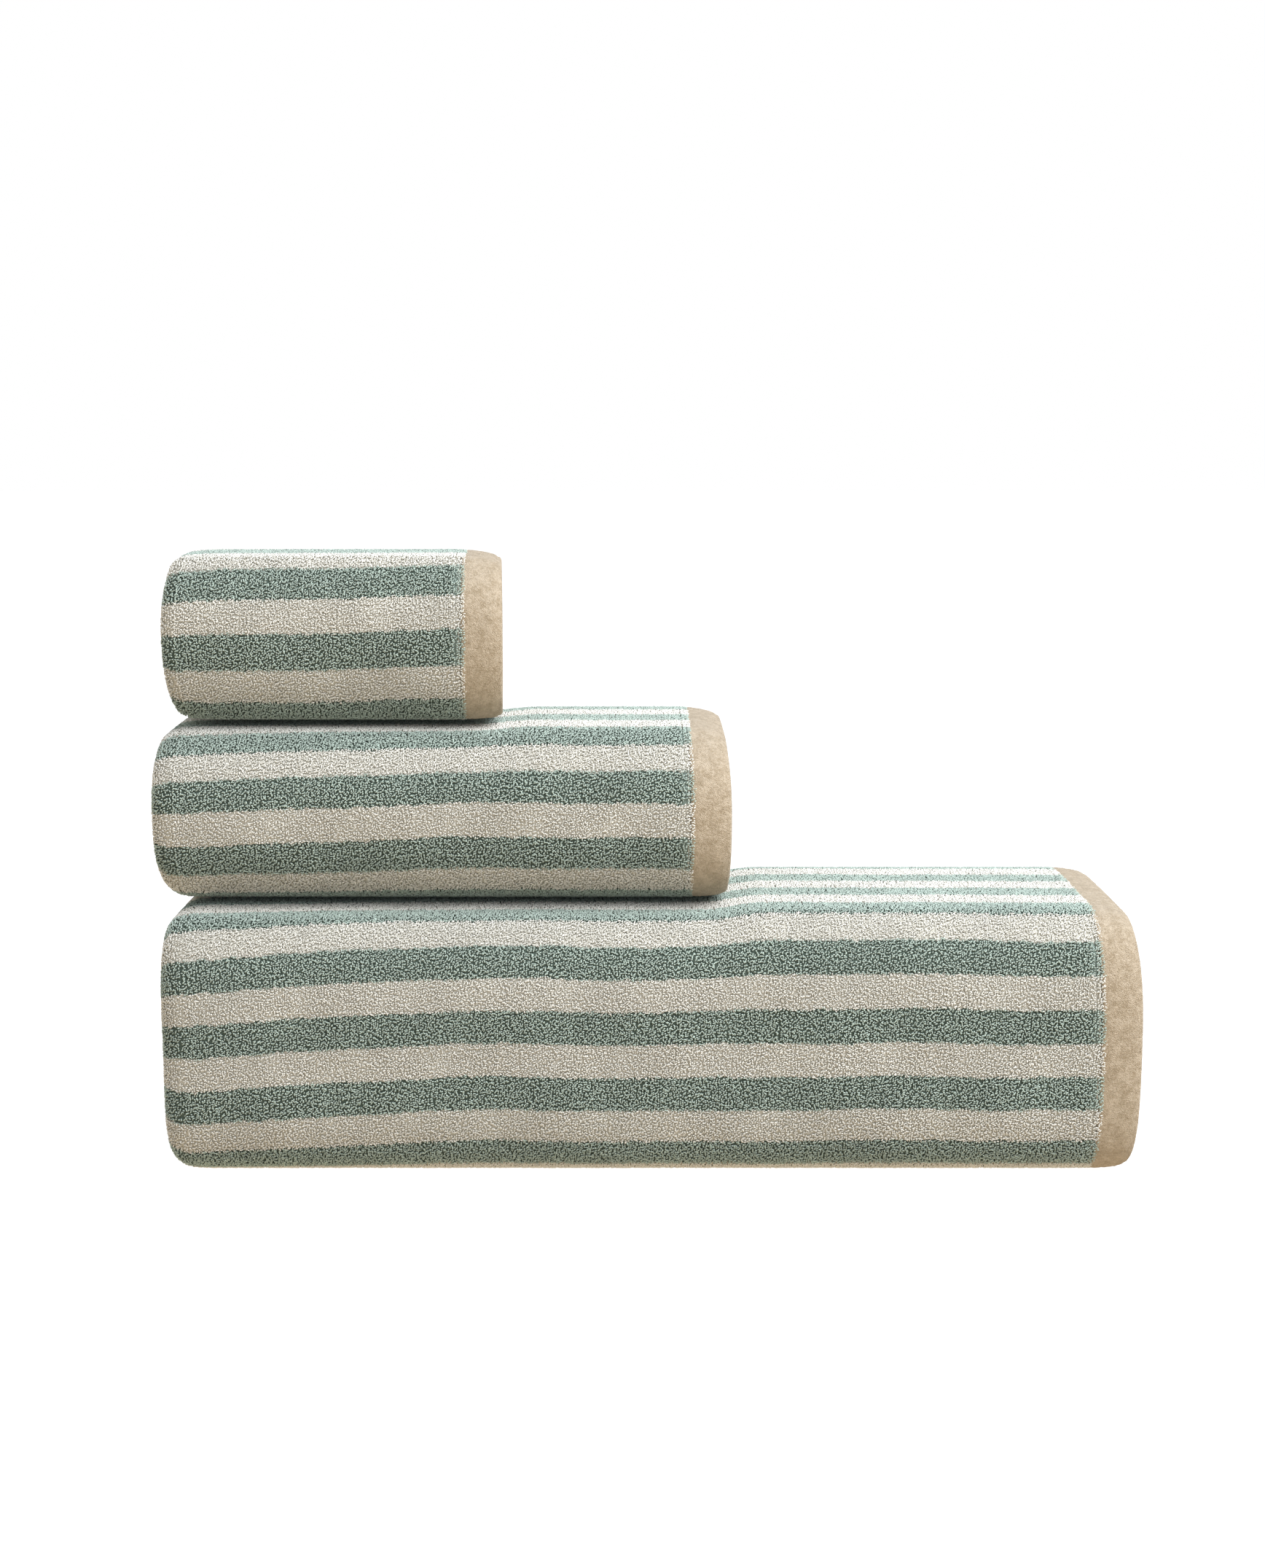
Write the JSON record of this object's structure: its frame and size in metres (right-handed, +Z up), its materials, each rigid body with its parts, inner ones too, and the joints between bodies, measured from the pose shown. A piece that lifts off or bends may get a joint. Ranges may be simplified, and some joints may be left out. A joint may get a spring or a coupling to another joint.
{
  "type": "bath towel set",
  "caption": "Folded bath towel, hand towel and washcloth in a stack, striped terry with plain velour end bands.",
  "frame": {"origin": "on the surface that the stack rests on, under the middle of its bounding box", "axes": "+X along the stripes towards the banded ends, +Y from the front of the stack to its back, +Z up"},
  "size_m": [0.45, 0.1444, 0.2848],
  "materials": {
    "terry": "looped cotton terry in sage green and cream stripes, matt",
    "velour_band": "sheared cotton velour in beige, soft and matt",
    "cotton_thread": "twisted cotton sewing thread",
    "label_tape": "smooth woven tape, blank"
  },
  "bodies": {
    "bath_towel": {"bath_towel_cloth": "terry", "bath_towel_end_band": "velour_band", "bath_towel_inner_band": "velour_band", "bath_towel_end_band_seam": "cotton_thread", "bath_towel_inner_band_seam": "cotton_thread", "bath_towel_outer_hem_seam": "cotton_thread", "bath_towel_inner_hem_seam": "cotton_thread", "bath_towel_care_label": "label_tape"},
    "hand_towel": {"hand_towel_cloth": "terry", "hand_towel_end_band": "velour_band", "hand_towel_inner_band": "velour_band", "hand_towel_end_band_seam": "cotton_thread", "hand_towel_inner_band_seam": "cotton_thread", "hand_towel_outer_hem_seam": "cotton_thread", "hand_towel_inner_hem_seam": "cotton_thread", "hand_towel_care_label": "label_tape"},
    "washcloth": {"washcloth_cloth": "terry", "washcloth_end_band": "velour_band", "washcloth_inner_band": "velour_band", "washcloth_end_band_seam": "cotton_thread", "washcloth_inner_band_seam": "cotton_thread", "washcloth_outer_hem_seam": "cotton_thread", "washcloth_inner_hem_seam": "cotton_thread", "washcloth_care_label": "label_tape"}
  },
  "joints": [
    {"name": "hand_towel_lift", "type": "slide", "parent": "bath_towel", "child": "hand_towel", "axis": [0, 0, 1], "range_m": [0, 0.15]},
    {"name": "washcloth_lift", "type": "slide", "parent": "hand_towel", "child": "washcloth", "axis": [0, 0, 1], "range_m": [0, 0.12]}
  ]
}
